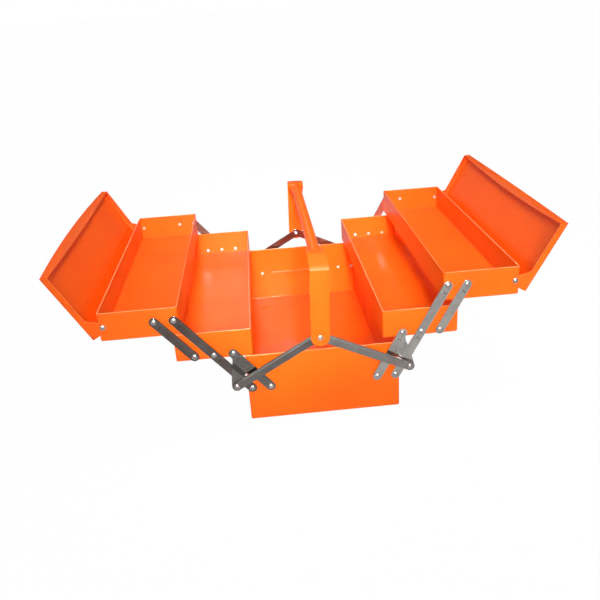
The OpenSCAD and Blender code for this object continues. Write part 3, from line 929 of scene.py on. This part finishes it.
def makeHandle(name):
    shape, rows = handleShape, handlePath()
    columns, thick, widest = shape["columns"], shape["thick"], shape["width"] / 2
    radius = shape["gripRadius"] - thick / 2
    deselectAll()
    bpy.ops.mesh.primitive_grid_add(x_subdivisions=columns, y_subdivisions=len(rows) - 1, size=1)
    handle = bpy.context.object
    handle.name = name
    openMesh(handle)

    def shapeStrap(p):
        across = round((p.x + 0.5) * columns) / columns * 2 - 1
        out, up, curl, half = rows[round((p.y + 0.5) * (len(rows) - 1))]
        if curl <= 0.001:
            return Vector((across * (widest if half is None else half), out, up))
        turn = shape["gripTurn"] * curl
        flat = widest * (1 - curl) + radius * turn
        bent = flat / turn + thick / 2
        return Vector((bent * sin(turn * across), out, up - bent + bent * cos(turn * across)))

    reshape(handle, shapeStrap)
    bpy.ops.mesh.select_all(action="SELECT")
    bpy.ops.mesh.remove_doubles(threshold=0.5 * tiny)
    closeMesh()
    modify(handle, "MIRROR", use_axis=(False, True, False), use_clip=True, merge_threshold=tiny)
    openMesh(handle)
    bpy.ops.mesh.select_all(action="SELECT")
    bpy.ops.mesh.normals_make_consistent(inside=False)
    closeMesh()
    if sum(f.normal.z * f.area for f in handle.data.polygons) < 0:
        handle.data.flip_normals()
    modify(handle, "SOLIDIFY", thickness=thick, offset=-1, use_even_offset=True)
    roundEdges(handle, shape["edge"], 2, 60)
    handle.data.transform(stand(handlePin, shape["lean"]))
    return handle


handle = makeHandle("handle_strap")
finishPiece(handle, "handle", "orange_paint", paintOut, "handle")
print("handle made")

# Floor, light and camera
floorValues = {
    "size": 60, "low": 0.3 * mm, "colour": (0.3, 0.3, 0.3), "glow": 1.055, "seen": 0.93,
    "shiny": 0.2,
}
deselectAll()
bpy.ops.mesh.primitive_plane_add(size=floorValues["size"], location=(0, 0, -floorValues["low"]))
floor = bpy.context.object
floor.name = "floor"
floorPaint = Paint("pale floor")
diffuse = floorPaint.node("ShaderNodeBsdfDiffuse", {}, {"Color": floorValues["colour"]})
glow = floorPaint.node("ShaderNodeEmission", {}, {
    "Color": (1, 1, 1), "Strength": floorValues["glow"]})
seen = floorPaint.node("ShaderNodeLightPath", output="Is Camera Ray")
shiny = floorPaint.node("ShaderNodeLightPath", output="Is Glossy Ray")
mixed = floorPaint.node("ShaderNodeMixShader", {}, {
    0: floorValues["seen"] * seen + floorValues["shiny"] * shiny, 1: diffuse, 2: glow})
floor.data.materials.append(floorPaint.close(mixed))

# White to the camera, a pale sky that turns brown at the horizon in the metal, and an even fill
studio = {
    "fill": 0.34, "sky": 1.1, "horizon": 0.03, "skyRise": (0.16, 0.75),
    "back": 0.25, "backDepth": (-0.3, 0.5), "brown": (0.75, 0.40, 0.28), "brownBelow": 0.4,
    "wall": 0.7, "wallAcross": (-0.45, -0.15), "wallDepth": (0.5, 0.7), "wallRise": (0.02, 0.09),
    "wallFall": (0.18, 0.28),
    "front": 1.0, "frontDepth": (-0.92, -0.85), "frontRise": (0.0, 0.04), "frontFall": (0.2, 0.35),
}
world = bpy.data.worlds.new("studio")
bpy.context.scene.world = world
air = Paint("studio", world)
rays = {ray: air.node("ShaderNodeLightPath", output="Is " + ray + " Ray")
        for ray in ("Camera", "Glossy", "Transmission")}
around = air.node("ShaderNodeTexCoord", output="Generated")
across, depth, height = [
    air.node("ShaderNodeSeparateXYZ", {}, {0: around}, output=i) for i in range(3)]
sky = air.remap(height, *studio["skyRise"], studio["horizon"], studio["sky"])
sky = sky * air.remap(depth, *studio["backDepth"], 1, studio["back"])
# A pale wall low at the back, on the left, and a pale band low in front
wall = air.remap(across, *studio["wallAcross"], 1, 0) * air.remap(depth, *studio["wallDepth"], 0, 1)
wall = wall * air.remap(height, *studio["wallRise"], 0, 1)
wall = wall * air.remap(height, *studio["wallFall"], 1, 0)
front = air.remap(depth, *studio["frontDepth"], 1, 0)
front = front * air.remap(height, *studio["frontRise"], 0, 1)
front = front * air.remap(height, *studio["frontFall"], 1, 0)
sky = sky + studio["wall"] * wall + studio["front"] * front
shown = rays["Glossy"] + rays["Transmission"]
strength = rays["Camera"] + shown * sky + (1 - rays["Camera"] - shown) * studio["fill"]
brown = shown * air.remap(sky, 0, studio["brownBelow"], 1, 0)
tint = air.blendColours(brown, (1, 1, 1), studio["brown"])
background = air.node("ShaderNodeBackground", {}, {"Color": tint, "Strength": strength})
air.close(background, "ShaderNodeOutputWorld")

centre = (0, 0, 0.1)
lamps = {
    "front": {"place": (-0.08, -1.9, 1.0), "aim": centre, "size": (0.8, 0.6), "power": 7.4},
    "far end": {"place": (-0.08, -1.8, 0.95), "aim": (-0.03, 0.30, 0.08), "size": (0.3, 0.3),
                "power": 1.3, "spread": 20},
    "right": {"place": (0.3, -1.9, 0.9), "aim": (0.36, -0.2, 0.12), "size": (0.2, 0.2),
              "power": 0.4, "spread": 16},
    "top": {"place": (0.15, 0.1, 1.9), "aim": (0, 0, 0.05), "size": (1.2, 1.2), "power": 13.5},
    "left side": {"place": (-2.2, -0.2, 0.9), "aim": centre, "size": (0.8, 0.8), "power": 6},
    "right side": {"place": (2.2, -0.2, 0.9), "aim": centre, "size": (0.8, 0.8), "power": 6},
    "back": {"place": (-0.17, 2.2, 1.15), "aim": centre, "size": (0.45, 0.45), "power": 0.8},
}
for name, lamp in lamps.items():
    light = bpy.data.lights.new(name, "AREA")
    light.energy, light.shape = lamp["power"], "RECTANGLE"
    light.size, light.size_y = lamp["size"]
    light.spread = radians(lamp.get("spread", 180))
    lampObject = bpy.data.objects.new(name, light)
    lampObject.location = lamp["place"]
    aim = Vector(lamp["aim"]) - Vector(lamp["place"])
    lampObject.rotation_euler = aim.to_track_quat("-Z", "Y").to_euler()
    bpy.context.collection.objects.link(lampObject)

cameraValues = {
    "place": (-0.064733, -0.981971, 0.514884), "turn": (65.8748, 3.3067, -5.0416),
    "lens": 41.3394, "sensor": 36, "shift": (-0.011841, 0.002264),
}
cameraData = bpy.data.cameras.new("camera")
cameraData.lens, cameraData.sensor_width = cameraValues["lens"], cameraValues["sensor"]
cameraData.shift_x, cameraData.shift_y = cameraValues["shift"]
camera = bpy.data.objects.new("camera", cameraData)
camera.location = cameraValues["place"]
camera.rotation_euler = [radians(a) for a in cameraValues["turn"]]
bpy.context.collection.objects.link(camera)
bpy.context.scene.camera = camera
bpy.context.scene.view_settings.view_transform = "Standard"
print("stage set")
